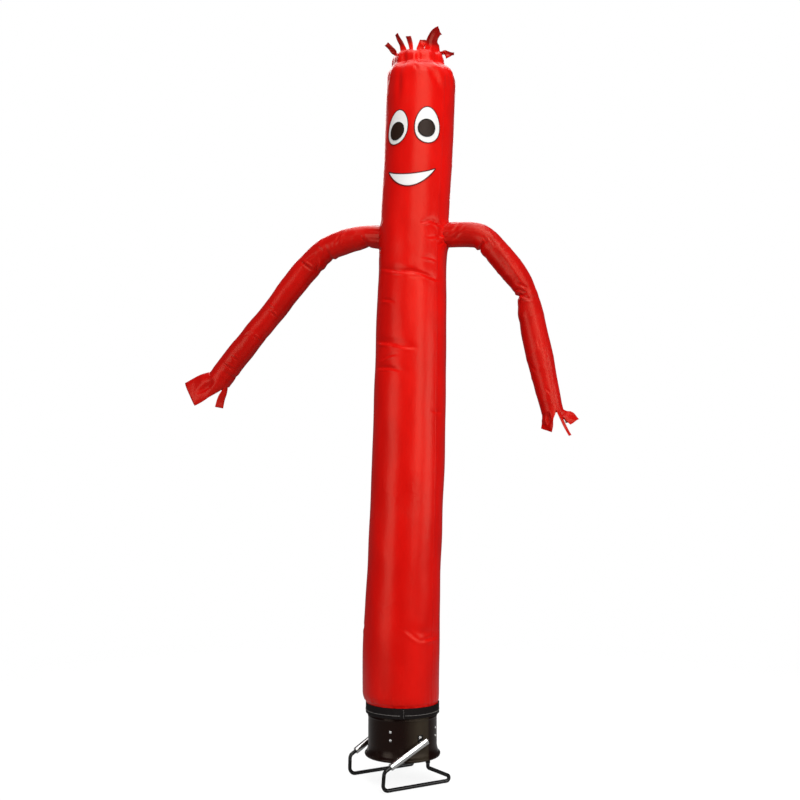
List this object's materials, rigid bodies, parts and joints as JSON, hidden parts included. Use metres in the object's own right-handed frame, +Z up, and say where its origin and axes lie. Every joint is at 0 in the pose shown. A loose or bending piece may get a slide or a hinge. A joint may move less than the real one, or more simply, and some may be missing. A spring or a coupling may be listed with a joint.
{
  "type": "inflatable air dancer on a blower",
  "caption": "Tall inflatable tube figure with a smiling face, bent arms and cut strips for hair and hands, standing on a round blower with bent rod legs.",
  "frame": {"origin": "middle of the footprint at the level of the floor", "axes": "+Z up along the tube, -Y the way that the face looks, +X toward the arm that hangs bent down"},
  "size_m": [1.912, 0.4646, 3.4866],
  "materials": {
    "red_nylon": "satin coated",
    "red_strips": "satin coated",
    "white_patch": "satin",
    "dark_patch": "satin",
    "black_webbing": "matte woven",
    "black_gloss": "gloss",
    "black_rod": "gloss",
    "bright_steel": "polished",
    "plain_black": "satin"
  },
  "bodies": {
    "root": {"arm_left": "red_nylon", "arm_right": "red_nylon", "blower_barrel": "black_gloss", "body_tube": "red_nylon", "bolt_1_a": "bright_steel", "bolt_1_b": "bright_steel", "bolt_2_a": "bright_steel", "bolt_2_b": "bright_steel", "bolt_3_a": "bright_steel", "bolt_3_b": "bright_steel", "bolt_4_a": "bright_steel", "bolt_4_b": "bright_steel", "collar_band": "black_webbing", "eye_white_left": "white_patch", "eye_white_right": "white_patch", "hair": "red_strips", "hand_left": "red_strips", "hand_right": "red_strips", "inlet_guard": "plain_black", "leg_bolt_left": "bright_steel", "leg_bolt_right": "bright_steel", "leg_bracket_left": "black_rod", "leg_bracket_right": "black_rod", "leg_left": "black_rod", "leg_lug_left": "black_rod", "leg_lug_right": "black_rod", "leg_right": "black_rod", "leg_sleeve_left": "bright_steel", "leg_sleeve_right": "bright_steel", "motor": "plain_black", "mouth": "white_patch", "pupil_left": "dark_patch", "pupil_right": "dark_patch"}
  },
  "joints": []
}
